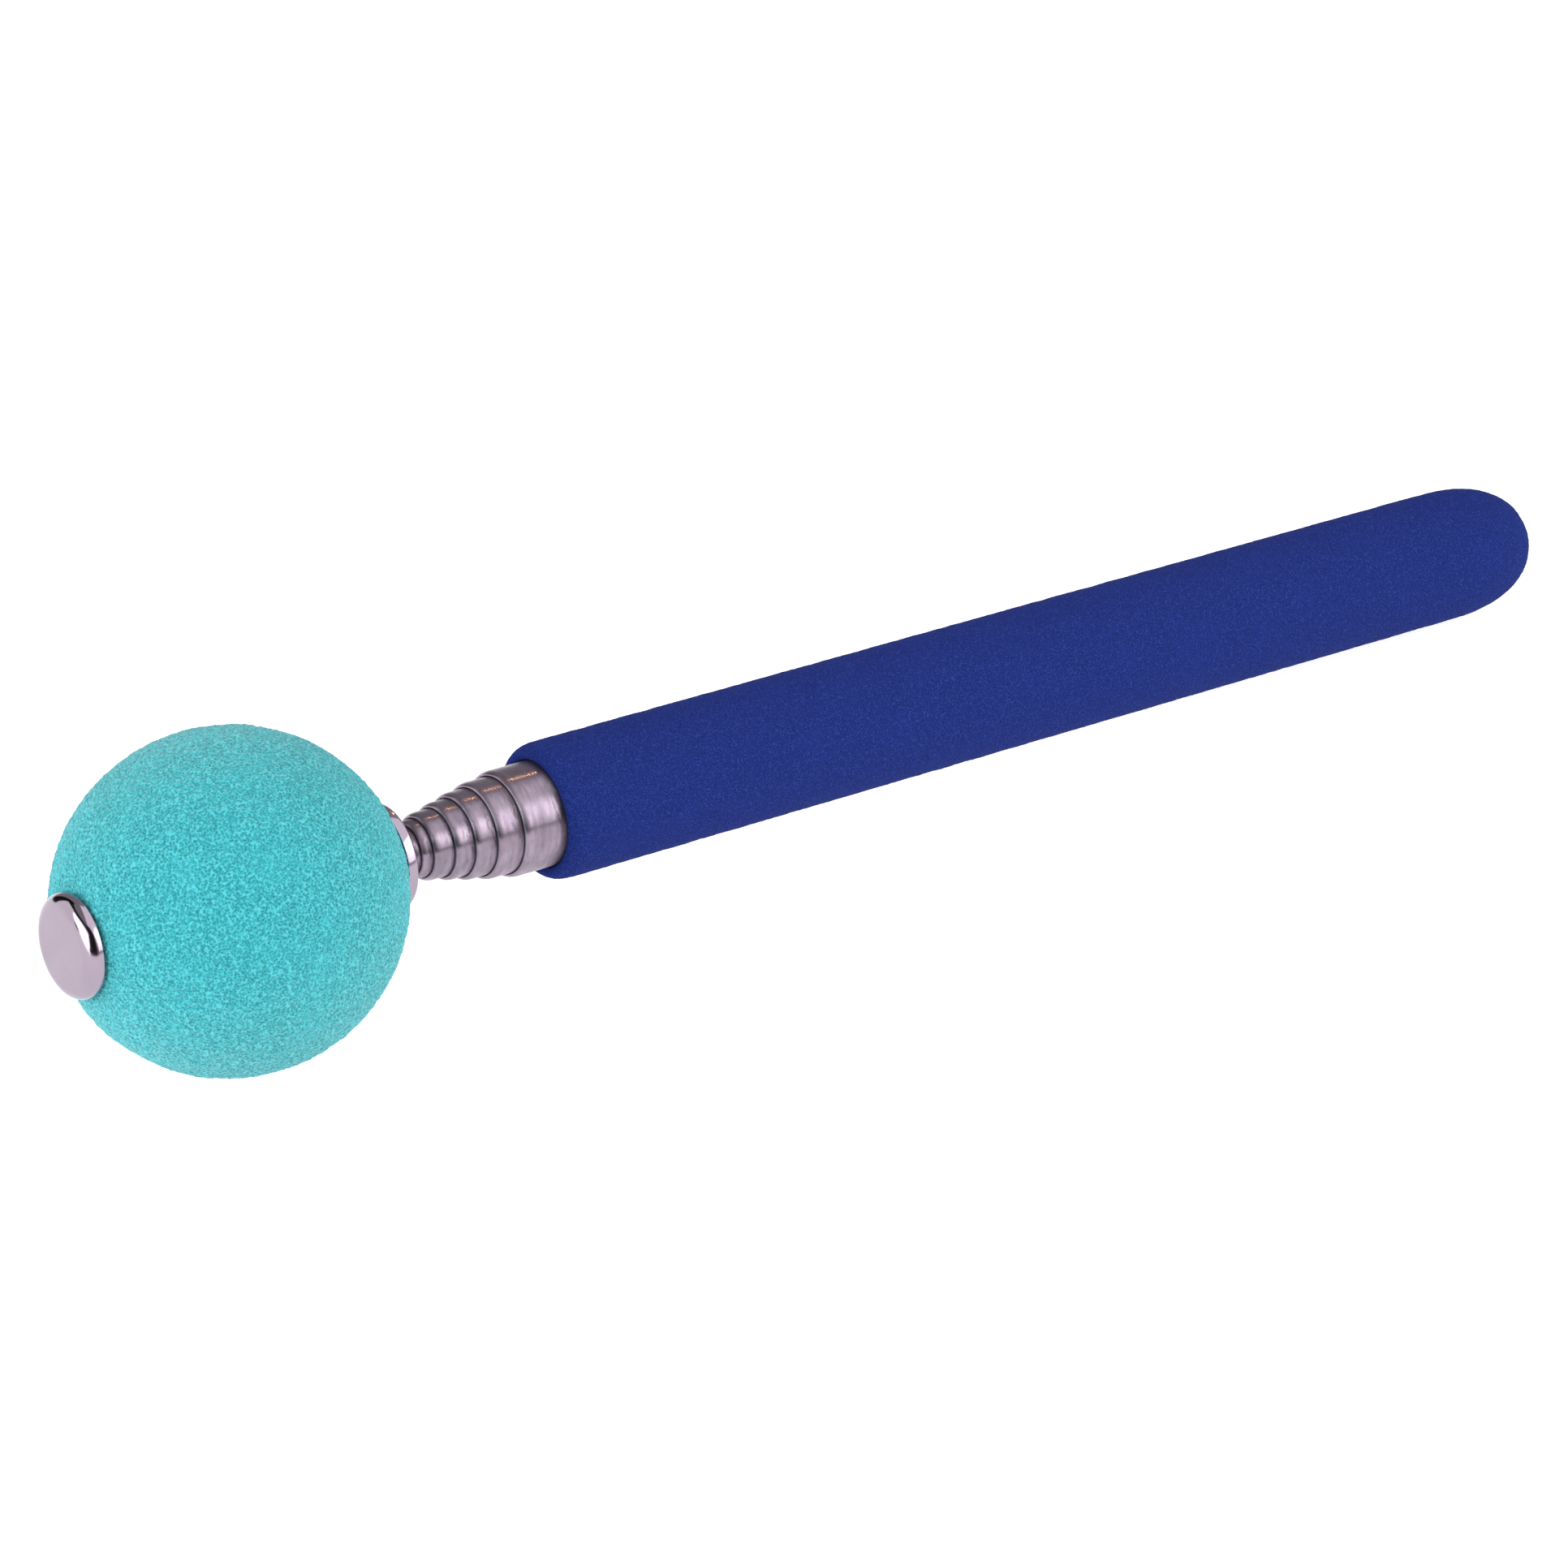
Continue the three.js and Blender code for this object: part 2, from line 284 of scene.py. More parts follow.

# %% [markdown]
# ## Brushed stainless steel
# The tubes are drawn and then polished with a belt that runs round them, which leaves very fine rings.
# A flat grey metal would look like plastic. Noise that is squeezed along the tube and stretched round
# it makes the rings, anisotropy pulls the highlights out along the tube, and wide soft noise stands
# for handling marks. Three attributes place a dark colour: `from_mouth` is the distance in
# millimetres in front of the next larger tube, where painted shade and smudges darken the steel,
# `lip` is 1 inside a rolled mouth, where painted shade darkens the crevice between the tubes, and
# the third is 1 on the side towards -Y and up, where the smudges are strongest.

# %% Stainless steel
STEEL = (0.29, 0.233, 0.295)
STEEL_BRIGHT = (0.38, 0.315, 0.385)
STEEL_DULL = (0.195, 0.153, 0.20)
# The dark colour: painted shade at the mouths, and smudges that are partly dirt and partly painted shade.
STEEL_SHADE_AND_DIRT = (0.035, 0.025, 0.035)


def brushed_steel():
    material, tree, shader = fresh_material("brushed_stainless", STEEL, 0.3, 1.0)
    rings = noise(tree, place_on_piece(tree, (16000, 260, 260)), 1.0, detail=3)
    streaks = noise(tree, place_on_piece(tree, (2500, 500, 500)), 1.0, detail=3)
    marks = noise(tree, place_on_piece(tree), 600, detail=5, roughness=0.65)
    ragged = noise(tree, place_on_piece(tree, (1500, 420, 420)), 1.0, detail=5, roughness=0.7)
    # Ahead of each mouth: a band of painted shade right at the mouth, then ragged smudges that are partly
    # dirt and partly painted shade and reflection, strongest on one side.
    distance = attribute(tree, "from_mouth")
    reach = spread(tree, ragged, 0.40, 0.72, 0.05, 1.1)
    shade_and_smudge = spread(tree, maths(tree, "SUBTRACT", distance, reach), -0.5, 0.3, 0.9, 0.0)
    behind = spread(tree, distance, -0.05, 0.0, 0.0, 1.0)
    smudge_side = spread(tree, attribute(tree, "smudge_side"), 0.55, 0.95, 0.2, 0.8)
    blotches = maths(tree, "MULTIPLY", maths(tree, "MULTIPLY", shade_and_smudge, behind), smudge_side)
    # Inside each rolled mouth: painted shade in the crevice between the tubes.
    inside = spread(tree, attribute(tree, "lip"), 0.88, 0.98, 0.0, 0.97)
    shade_and_dirt = maths(tree, "MAXIMUM", blotches, inside)
    bright = blend_colours(tree, spread(tree, marks, 0.38, 0.68, 0, 1), STEEL, STEEL_BRIGHT)
    brushed = blend_colours(tree, spread(tree, streaks, 0.3, 0.7, 0, 0.5), bright, STEEL_DULL)
    colour = blend_colours(tree, shade_and_dirt, brushed, STEEL_SHADE_AND_DIRT)
    tree.links.new(colour, shader.inputs["Base Color"])
    polish = spread(tree, streaks, 0.3, 0.7, 0.27, 0.36)
    dull = maths(tree, "ADD", polish, maths(tree, "MULTIPLY", shade_and_dirt, 0.3))
    tree.links.new(dull, shader.inputs["Roughness"])
    shader.inputs["Anisotropic"].default_value = 0.9
    shader.inputs["Anisotropic Rotation"].default_value = 0.25
    tangent = tree.nodes.new("ShaderNodeTangent")
    tangent.direction_type = "RADIAL"
    tangent.axis = "X"
    tree.links.new(tangent.outputs["Tangent"], shader.inputs["Tangent"])
    bump(tree, shader, rings, 0.004 * MM, 0.5)
    return material


steel = brushed_steel()
print("steel nodes:", len(steel.node_tree.nodes))

# %% [markdown]
# ## The telescopic tubes
# Every tube has the same shape: a thin wall, a mouth rolled in until it nearly touches the next tube,
# a shallow seat near the back for its friction sleeve, and an inward lip at the very back that the
# next tube rests on. The frame says how long and how thick each one is. The wall, the roll and the
# seat are named here. A boolean of two cylinders would give the same bore but no rolled edge, so each
# tube is spun from its outline.

# %% Tube sizes
TUBES = ["outer_tube", "tube_2", "tube_3", "tube_4", "tube_5", "tube_6", "tube_7"]
TUBE_WALL = 0.25 * MM
MOUTH_LENGTH = 0.45 * MM
MOUTH_GAP = 0.06 * MM
SHOULDER_LENGTH = 0.75 * MM
SHOULDER_SHARE = 0.8
NECK_RADIUS = 1.4 * MM
SWIVEL_GAP = 0.1 * MM
SEAT_DEPTH = 0.08 * MM
SEAT_FROM_BACK = 10.04 * MM
REAR_COLLAR = 1.0 * MM
REAR_LIP = 0.5 * MM


def tube_span(name):
    """A tube's front, back and outer radius, from the frame."""
    low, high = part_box(name)
    return low.x, high.x, high.z


def lip_radius(index):
    """A mouth closes on the next tube, and the last one on the spigot's neck."""
    if index == len(TUBES) - 1:
        return NECK_RADIUS + SWIVEL_GAP
    return tube_span(TUBES[index + 1])[2] + MOUTH_GAP


print("tube radii in mm:", [round(tube_span(name)[2] / MM, 2) for name in TUBES])

# %% [markdown]
# The outline walks from the lip over the rolled edge, along the outside to the back, and home through
# the bore. The rounding is two quarter bends that meet at the foremost point.

# %% Tube outlines


def mouth_outline(front, radius, lip):
    drop = SHOULDER_SHARE * (radius - lip)
    crown = radius - drop
    inner = bend(front + MOUTH_LENGTH / 5, crown, MOUTH_LENGTH / 5, crown - lip, 270, 180, 4)
    outer = bend(front + SHOULDER_LENGTH, crown, SHOULDER_LENGTH, drop, 180, 90, 10)
    return [(front + MOUTH_LENGTH, lip)] + inner + outer[1:]


def seat_outline(back, radius):
    """The shallow groove that the friction sleeve sits in."""
    groove = radius - SEAT_DEPTH
    start, end = back - SEAT_FROM_BACK, back - REAR_COLLAR
    return [(start, radius), (start, groove), (end, groove), (end, radius)]


def back_outline(index, back, radius):
    bore = radius - TUBE_WALL
    if index in (0, len(TUBES) - 1):
        return [(back, radius), (back, bore)]
    rest = tube_span(TUBES[index + 1])[2] - TUBE_WALL
    lip_front = back - REAR_LIP
    return [(back, radius), (back, rest), (lip_front, rest), (lip_front, bore)]


def tube_outline(index):
    front, back, radius = tube_span(TUBES[index])
    outline = mouth_outline(front, radius, lip_radius(index))
    if index > 0:
        outline += seat_outline(back, radius)
    outline += back_outline(index, back, radius)
    return outline + [(front + MOUTH_LENGTH, radius - TUBE_WALL)]


print("points in the first outline:", len(tube_outline(0)))

# %% [markdown]
# The attributes are plain numbers on the vertices. `from_mouth` falls in a straight line along the
# tube, so the few vertices that it has are enough. It is counted from where the larger tube's mouth
# sits when the tool is closed: right there the steel gets a band of painted shade, and beyond it
# smudges that are partly dirt and partly painted shade. The third attribute is 1 on the side towards
# -Y and up, where this darkening is strongest.

# %% Turn and dress the tubes
FAR_FROM_MOUTH = 9.0
SMUDGE_SIDE = Vector((0, -0.88, 0.48))


def write_attribute(piece, name, values):
    layer = piece.data.attributes.new(name, "FLOAT", "POINT")
    layer.data.foreach_set("value", values)


# Writes the attributes that place the painted shade at the mouths and the smudges ahead of them.
def mark_shade_and_dirt(piece, index):
    front, _, radius = tube_span(TUBES[index])
    lip = lip_radius(index)
    larger_mouth = tube_span(TUBES[index - 1])[0] if index else grip_low.x
    ahead, inside, smudge_side = [], [], []
    for vertex in piece.data.vertices:
        point = vertex.co
        reach = math.hypot(point.y, point.z)
        outer = reach > lip + SHOULDER_SHARE / 2 * (radius - lip)
        ahead.append((larger_mouth - point.x) / MM if outer else FAR_FROM_MOUTH)
        at_mouth = point.x < front + SHOULDER_LENGTH * 1.01
        inside.append((radius - reach) / (radius - lip) if at_mouth else 0.0)
        smudge_side.append(max(0.0, SMUDGE_SIDE.dot(point) / max(reach, MM)))
    write_attribute(piece, "from_mouth", ahead)
    write_attribute(piece, "lip", inside)
    write_attribute(piece, "smudge_side", smudge_side)


def body_of_node(name):
    bodies = frame["record"]["behaviour"]["bodies"]
    return next(body for body, members in bodies.items() if name in members)


def finish_piece(piece, node, material):
    """Dresses a piece, lets it ride with its node's body, and stands it in for that node."""
    dress(piece, material)
    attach(piece, body_of_node(node))
    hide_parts(node)
    return piece


for index, node in enumerate(TUBES):
    piece = turned(node + "_drawn", tube_outline(index))
    mark_shade_and_dirt(piece, index)
    finish_piece(piece, node, steel)

print("tubes turned:", len(TUBES))

# %% [markdown]
# ## Polished plate
# The cap and the flange are pressed discs with a mirror polish. Polished metal shows its room more
# than itself, so the shader stays simple: low roughness, a faint cloudy variation, and hairline marks
# too shallow to see except where light grazes them.

# %% Polished chrome
CHROME = (0.36, 0.30, 0.366)
CHROME_BRIGHT = (0.385, 0.323, 0.39)


def polished_plate():
    material, tree, shader = fresh_material("polished_plate", CHROME, 0.07, 1.0)
    cloud = noise(tree, place_on_piece(tree), 350, detail=3, roughness=0.6)
    hairs = noise(tree, place_on_piece(tree, (900, 9000, 900)), 1.0, detail=2)
    colour = blend_colours(tree, spread(tree, cloud, 0.3, 0.7, 0, 1), CHROME, CHROME_BRIGHT)
    tree.links.new(colour, shader.inputs["Base Color"])
    tree.links.new(spread(tree, cloud, 0.3, 0.75, 0.11, 0.17), shader.inputs["Roughness"])
    bump(tree, shader, hairs, 0.0015 * MM, 0.35)
    return material


chrome = polished_plate()
print("chrome nodes:", len(chrome.node_tree.nodes))

# %% [markdown]
# ## The front cap
# The cap is a pressed disc with a flat middle that rounds over, faster and faster, into a thin rim. It
# starts as a thin cylinder. Its front face is inset again and again, each time a little forward, which
# builds the rounding ring by ring. The back face is inset and pushed out into the skirt that grips the
# core.

# %% Model the front cap
cap_low, cap_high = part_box("front_cap")
CAP_RADIUS = cap_high.z
CAP_BACK = 1.5 * MM
CAP_DOME = 1.25 * MM
CAP_FULLNESS = 2.2
CAP_FLAT_RADIUS = 3.4 * MM
SKIRT_OUTER = 3.0 * MM
SKIRT_WALL = 0.55 * MM
CAP_STEPS = 22


def select_end_face(piece, direction):
    """Selects the one face that points most nearly along X, at that end of the piece."""
    mesh = bmesh.from_edit_mesh(piece.data)
    for face in mesh.faces:
        face.select_set(False)
    mesh.faces.ensure_lookup_table()
    ends = [face for face in mesh.faces if face.normal.x * direction > 0.99]
    end = max(ends, key=lambda face: face.calc_center_median().x * direction)
    end.select_set(True)
    mesh.select_flush(True)
    bmesh.update_edit_mesh(piece.data)


def add_disc(name, front, back, radius):
    """A cylinder along X from front to back, left in edit mode."""
    deselect_all()
    bpy.ops.mesh.primitive_cylinder_add(
        vertices=TURN_STEPS,
        radius=radius,
        depth=back - front,
        location=((front + back) / 2, 0, 0),
        rotation=(0, math.pi / 2, 0),
    )
    piece = bpy.context.object
    piece.name = name
    piece.data.name = name
    bpy.ops.object.transform_apply(location=True, rotation=True, scale=True)
    bpy.ops.object.mode_set(mode="EDIT")
    bpy.ops.mesh.select_mode(type="FACE")
    return piece


def raise_rings(rings):
    """Insets the selected face once for each (width, rise)."""
    for width, rise in rings:
        bpy.ops.mesh.inset(thickness=width, depth=rise)


def steps_of(curve, count):
    """The widths and rises between even steps along a curve of (distance in, height)."""
    points = [curve(i / count) for i in range(count + 1)]
    return [(b[0] - a[0], b[1] - a[1]) for a, b in zip(points, points[1:])]


def cap_dome(share):
    """The rounding from the rim, at 0, to the flat middle, at 1."""
    out = math.cos(share * math.pi / 2)
    width = CAP_RADIUS - CAP_FLAT_RADIUS
    return width * (1 - out), CAP_DOME * math.sqrt(1 - out**CAP_FULLNESS)


def model_cap():
    piece = add_disc("front_cap_pressed", cap_low.x + CAP_DOME, CAP_BACK, CAP_RADIUS)
    select_end_face(piece, -1)
    raise_rings(steps_of(cap_dome, CAP_STEPS))
    select_end_face(piece, 1)
    raise_rings([(CAP_RADIUS - SKIRT_OUTER, 0)])
    skirt_length = cap_high.x - CAP_BACK
    bpy.ops.mesh.extrude_region_move(TRANSFORM_OT_translate={"value": (skirt_length, 0, 0)})
    raise_rings([(SKIRT_WALL, 0)])
    bpy.ops.mesh.extrude_region_move(TRANSFORM_OT_translate={"value": (-skirt_length, 0, 0)})
    bpy.ops.mesh.select_all(action="SELECT")
    bpy.ops.mesh.normals_make_consistent(inside=False)
    bpy.ops.object.mode_set(mode="OBJECT")
    bpy.ops.object.shade_smooth_by_angle(angle=math.radians(35))
    return piece


cap = model_cap()
finish_piece(cap, "front_cap", chrome)
print("cap faces:", len(cap.data.polygons))

# %% [markdown]
# ## The rear flange and the spigot
# The flange is a plain disc behind the ball with its back edge rounded. The spigot is a turned pin: its
# front end is pressed into the ball's core, its collar bears on the flange, and its shank is held in
# the smallest tube by the mouth that is rolled into its groove. Both are spun.

# %% Model the flange and the spigot
flange_low, flange_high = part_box("rear_flange")
spigot_low, spigot_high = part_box("tip_spigot")
FIT_GAP = 0.05 * MM
REST_GAP = 0.1 * MM
CHAMFER = 0.15 * MM
FLANGE_EDGE = 0.3 * MM
FLANGE_FRONT_EDGE = 0.08 * MM


def flange_outline():
    front, back, radius = flange_low.x, flange_high.x, flange_high.z
    bore = NECK_RADIUS + FIT_GAP
    sharp, round_ = FLANGE_FRONT_EDGE, FLANGE_EDGE
    front_edge = bend(front + sharp, radius - sharp, sharp, sharp, 180, 90, 3)
    back_edge = bend(back - round_, radius - round_, round_, round_, 90, 0, 8)
    return [(front, bore)] + front_edge + back_edge + [(back, bore)]


def spigot_outline():
    collar = spigot_high.z
    shank = collar - SWIVEL_GAP
    collar_front = flange_high.x + FIT_GAP
    groove_front = tube_span("tube_7")[0] - REST_GAP
    groove_back = tube_span("tube_7")[0] + MOUTH_LENGTH + REST_GAP
    return [
        (spigot_low.x, 0),
        (spigot_low.x, NECK_RADIUS - CHAMFER),
        (spigot_low.x + CHAMFER, NECK_RADIUS),
        (collar_front, NECK_RADIUS),
        (collar_front, collar),
        (groove_front - CHAMFER, collar),
        (groove_front, collar - CHAMFER),
        (groove_front, NECK_RADIUS),
        (groove_back, NECK_RADIUS),
        (groove_back, shank),
        (spigot_high.x - CHAMFER, shank),
        (spigot_high.x, shank - CHAMFER),
        (spigot_high.x, 0),
    ]


flange = turned("rear_flange_pressed", flange_outline())
finish_piece(flange, "rear_flange", chrome)
spigot = turned("tip_spigot_turned", spigot_outline(), sharp=25)
finish_piece(spigot, "tip_spigot", steel)
print("flange and spigot faces:", len(flange.data.polygons), len(spigot.data.polygons))

# %% [markdown]
# ## Two kinds of foam
# The ball is an open-cell sponge: little dark pits with light strands between them. The grip is a
# skinned foam, so its cells are finer and half closed. Both get their shape in the same way. A coarse
# form is spun, subdivided until its quads are about as small as the pits, and then moved along its
# normals by procedural textures: a wide cloud for the unevenness of moulded foam, then the cells.
# How far each point sank is kept as an attribute, so that painted shade darkens the colour in
# the same pits.

# %% Foam helpers


def subdivide(piece, levels):
    """Smooth subdivision, applied, which makes the mesh fine enough to hold the cells."""
    modifier = piece.modifiers.new("fine", "SUBSURF")
    modifier.levels = levels
    modifier.render_levels = levels
    bpy.context.view_layer.objects.active = piece
    bpy.ops.object.modifier_apply(modifier=modifier.name)


def displace(piece, texture, strength, group):
    """Moves the open surface in and out by half the strength each way."""
    modifier = piece.modifiers.new("surface", "DISPLACE")
    modifier.texture = texture
    modifier.texture_coords = "LOCAL"
    modifier.strength = strength
    modifier.mid_level = 0.5
    modifier.vertex_group = group
    bpy.context.view_layer.objects.active = piece
    bpy.ops.object.modifier_apply(modifier=modifier.name)


def cloud_texture(name, size):
    texture = bpy.data.textures.new(name, "CLOUDS")
    texture.noise_scale = size
    texture.noise_depth = 2
    return texture


def cell_texture(name, size):
    texture = bpy.data.textures.new(name, "VORONOI")
    texture.noise_scale = size
    texture.noise_intensity = 1.0
    return texture


def read_vectors(data, name):
    values = numpy.empty(len(data) * 3, dtype=numpy.float32)
    data.foreach_get(name, values)
    return values.reshape(-1, 3)


def keep_pits(piece, before, outward, depth):
    """Writes how far each point has sunk below the strands: 0 on a strand, 1 in a deep pit."""
    moved = read_vectors(piece.data.vertices, "co") - before
    risen = (moved * outward).sum(axis=1)
    write_attribute(piece, "pit_shade", numpy.clip(0.5 - risen / depth, 0, 1))


print("foam helpers ready")

# %% [markdown]
# The foam's shader uses the same pits. Light strands are a little paler than the base colour, and the
# pits get painted shade: a darker, more saturated colour. A bump of smaller cells adds the pores that
# are too small to model, and the centres of these cells get the same painted shade. A soft sheen
# stands for the loose fibres at grazing angles.

# %% Foam materials


def foam_material(name, strand, pit_shade, speck, cell, bump_depth, sheen, shine):
    """A foam in two colours, the darker one painted shade for its pits, with pale specks and
    fine cells of the given size in metres.
    """
    material, tree, shader = fresh_material(name, strand, 0.95, 0.0)
    place = place_on_piece(tree)
    patches = noise(tree, place, 220, detail=3, roughness=0.6)
    grain = noise(tree, place, 1.6 / cell, detail=3, roughness=0.7)
    pores = cells(tree, place, 1 / cell)
    # Painted shade: the colour darkens towards the centres of the cells and in the modelled pits.
    hollow = spread(tree, pores, 0.15, 0.62, 0.65, 0.0)
    sunk = maths(tree, "MULTIPLY", attribute(tree, "pit_shade"), 0.4)
    ragged = spread(tree, grain, 0.3, 0.7, -0.2, 0.25)
    depth = maths(tree, "ADD", maths(tree, "ADD", hollow, sunk), ragged)
    mixed = blend_colours(tree, spread(tree, depth, 0.15, 0.95, 0, 1), strand, pit_shade)
    specks = spread(tree, maths(tree, "SUBTRACT", pores, ragged), 0.55, 0.85, 0, 0.8)
    specked = blend_colours(tree, specks, mixed, speck)
    blotches = tuple(min(1, value * 1.12) for value in strand)
    colour = blend_colours(tree, spread(tree, patches, 0.5, 0.8, 0, 0.35), specked, blotches)
    tree.links.new(colour, shader.inputs["Base Color"])
    tree.links.new(spread(tree, grain, 0.3, 0.7, 0.88, 1.0), shader.inputs["Roughness"])
    shader.inputs["Sheen Weight"].default_value = sheen
    shader.inputs["Sheen Roughness"].default_value = 0.6
    shader.inputs["Specular IOR Level"].default_value = shine
    height = maths(tree, "ADD", maths(tree, "MULTIPLY", grain, 0.5), pores)
    bump(tree, shader, height, bump_depth, 0.8)
    return material


teal_foam = foam_material(
    "teal_sponge",
    strand=(0.031, 0.425, 0.465),
    # The pit colour is painted shade.
    pit_shade=(0.006, 0.195, 0.23),
    speck=(0.12, 0.59, 0.64),
    cell=0.23 * MM,
    bump_depth=0.11 * MM,
    sheen=0.24,
    shine=0.15,
)
blue_foam = foam_material(
    "blue_skinned_foam",
    strand=(0.0135, 0.0275, 0.178),
    # The pit colour is painted shade.
    pit_shade=(0.008, 0.017, 0.110),
    speck=(0.024, 0.046, 0.235),
    cell=0.16 * MM,
    bump_depth=0.08 * MM,
    sheen=0.0,
    shine=0.06,
)
print("foam materials:", teal_foam.name, blue_foam.name)

# %% [markdown]
# ## The foam ball
# The ball is a moulded sphere with two small flats and a bore for the metal core. The bore is wider
# at the front, where the cap's skirt goes in. The outline is one row of points about a millimetre
# apart over the sphere, with close pairs at the corners that keep them crisp when it is subdivided.

# %% Model the foam ball
BALL_FLAT = 3.4 * MM
BALL_BORE = 2.45 * MM
BALL_COUNTERBORE = 3.05 * MM
COUNTERBORE_DEPTH = 2.3 * MM
BALL_UNEVENNESS = 0.16 * MM
BALL_UNEVEN_SIZE = 3.0 * MM
BALL_CELL_DEPTH = 0.26 * MM
BALL_CELL_SIZE = 0.40 * MM
BALL_ROWS = 46
BALL_STEPS = 84
CORNER = 0.25 * MM


def ball_outline():
    flat_angle = math.degrees(math.asin(BALL_FLAT / BALL_RADIUS))
    front, back = ball_low.x, ball_high.x
    half_axis = (back - front) / 2 / math.cos(math.radians(flat_angle))
    step = front + COUNTERBORE_DEPTH
    sphere = bend(BALL_CENTRE.x, 0, half_axis, BALL_RADIUS, 180 - flat_angle, flat_angle, BALL_ROWS)
    bore = [
        (back, BALL_BORE + CORNER),
        (back - CORNER, BALL_BORE),
        (back - 4 * CORNER, BALL_BORE),
        (BALL_CENTRE.x, BALL_BORE),
        (step + 4 * CORNER, BALL_BORE),
        (step + CORNER, BALL_BORE),
        (step, BALL_BORE + CORNER),
        (step, BALL_COUNTERBORE - CORNER / 2),
        (step - CORNER, BALL_COUNTERBORE),
        (front + CORNER, BALL_COUNTERBORE),
        (front, BALL_COUNTERBORE + CORNER / 2),
    ]
    return sphere + bore


def open_surface(piece, is_open):
    """A vertex group that lets the foam texture act only where the foam is free."""
    group = piece.vertex_groups.new(name="open")
    free = [vertex.index for vertex in piece.data.vertices if is_open(vertex.co)]
    group.add(free, 1.0, "REPLACE")
    return group.name


def roughen(piece, group, unevenness, uneven_size, cell_depth, cell_size):
    """Wide unevenness first, then the cells, whose depth is kept for the colour."""
    displace(piece, cloud_texture(piece.name + "_uneven", uneven_size), unevenness, group)
    before = read_vectors(piece.data.vertices, "co")
    outward = read_vectors(piece.data.vertex_normals, "vector")
    displace(piece, cell_texture(piece.name + "_cells", cell_size), cell_depth, group)
    keep_pits(piece, before, outward, cell_depth)


def model_ball():
    piece = turned("foam_ball_moulded", ball_outline(), BALL_STEPS, sharp=180)
    free = open_surface(piece, lambda point: math.hypot(point.y, point.z) > BALL_FLAT + CORNER)
    subdivide(piece, 3)
    roughen(piece, free, BALL_UNEVENNESS, BALL_UNEVEN_SIZE, BALL_CELL_DEPTH, BALL_CELL_SIZE)
    return piece


ball = model_ball()
finish_piece(ball, "foam_ball", teal_foam)
print("ball faces:", len(ball.data.polygons))

# %% [markdown]
# ## The grip
# The grip is a blind foam tube with a rounded end, pushed over the largest steel tube. The cells are
# smaller than the ball's and its skin is closer, so the texture is finer and shallower.
# Its outline goes from the tip of the dome to the mouth, round the lip, and back up the bore.

# %% Model the grip
GRIP_BORE = 5.0 * MM
GRIP_BORE_END = grip_high.x - 7.6 * MM
GRIP_EDGE = 1.0 * MM
GRIP_EDGE_LENGTH = 1.7 * MM
GRIP_MOUTH_EDGE = 0.3 * MM
GRIP_LIP_WIDTH = 0.6 * MM
GRIP_TIP_LENGTH = 6 * MM
GRIP_UNEVENNESS = 0.10 * MM
GRIP_UNEVEN_SIZE = 2.2 * MM
GRIP_CELL_DEPTH = 0.07 * MM
GRIP_CELL_SIZE = 0.34 * MM
DOME_FULLNESS = 2.4
DOME_ROWS = 18
GRIP_ROWS = 170
GRIP_STEPS = 64


def row(start, end, count):
    """Points from start towards end, evenly spaced, without the last one."""
    return [
        (start[0] + (end[0] - start[0]) * i / count, start[1] + (end[1] - start[1]) * i / count)
        for i in range(count)
    ]


def full_dome(x, length, radius):
    """A rounded end from its tip to its start at x, squarer than half an ellipse."""
    angles = [math.pi / 2 * (1 - i / DOME_ROWS) for i in range(DOME_ROWS + 1)]
    power = 2 / DOME_FULLNESS
    return [(x + length * math.sin(a) ** power, radius * abs(math.cos(a)) ** power) for a in angles]


def grip_outline():
    mouth, shoulder = grip_low.x, grip_high.x - GRIP_DOME
    dome = full_dome(shoulder, GRIP_DOME, GRIP_RADIUS)
    side = row((shoulder, GRIP_RADIUS), (mouth + GRIP_EDGE_LENGTH, GRIP_RADIUS), GRIP_ROWS)
    edge = bend(mouth + GRIP_EDGE_LENGTH, GRIP_RADIUS - GRIP_EDGE, GRIP_EDGE_LENGTH, GRIP_EDGE, 90, 180, 5)
    inner = GRIP_BORE + GRIP_MOUTH_EDGE
    lip = bend(mouth + GRIP_MOUTH_EDGE, inner, GRIP_MOUTH_EDGE, GRIP_MOUTH_EDGE, 180, 270, 2)
    bore = [
        (mouth + 2 * MM, GRIP_BORE),
        ((mouth + shoulder) / 2, GRIP_BORE),
        (GRIP_BORE_END - CORNER, GRIP_BORE),
        (GRIP_BORE_END, GRIP_BORE - CORNER),
        (GRIP_BORE_END, GRIP_BORE / 2),
        (GRIP_BORE_END, 0),
    ]
    dome[0] = (grip_high.x, 0)
    return dome + side[1:] + edge + lip[1:] + bore


def model_grip():
    piece = turned("foam_grip_moulded", grip_outline(), GRIP_STEPS, sharp=180)
    limit = GRIP_BORE + GRIP_LIP_WIDTH
    tip_start = grip_high.x - GRIP_TIP_LENGTH
    free = open_surface(piece, lambda point: math.hypot(point.y, point.z) > limit or point.x > tip_start)
    subdivide(piece, 2)
    roughen(piece, free, GRIP_UNEVENNESS, GRIP_UNEVEN_SIZE, GRIP_CELL_DEPTH, GRIP_CELL_SIZE)
    return piece


grip = model_grip()
finish_piece(grip, "foam_grip", blue_foam)
print("grip faces:", len(grip.data.polygons))

# %% [markdown]
# ## The hidden pieces
# Friction sleeves, the plug, the bush, the core and the magnet show only when the tool is taken apart.
# Their shapes in the frame are right, so they stay and only get better finishes.

# %% Finishes of the hidden pieces


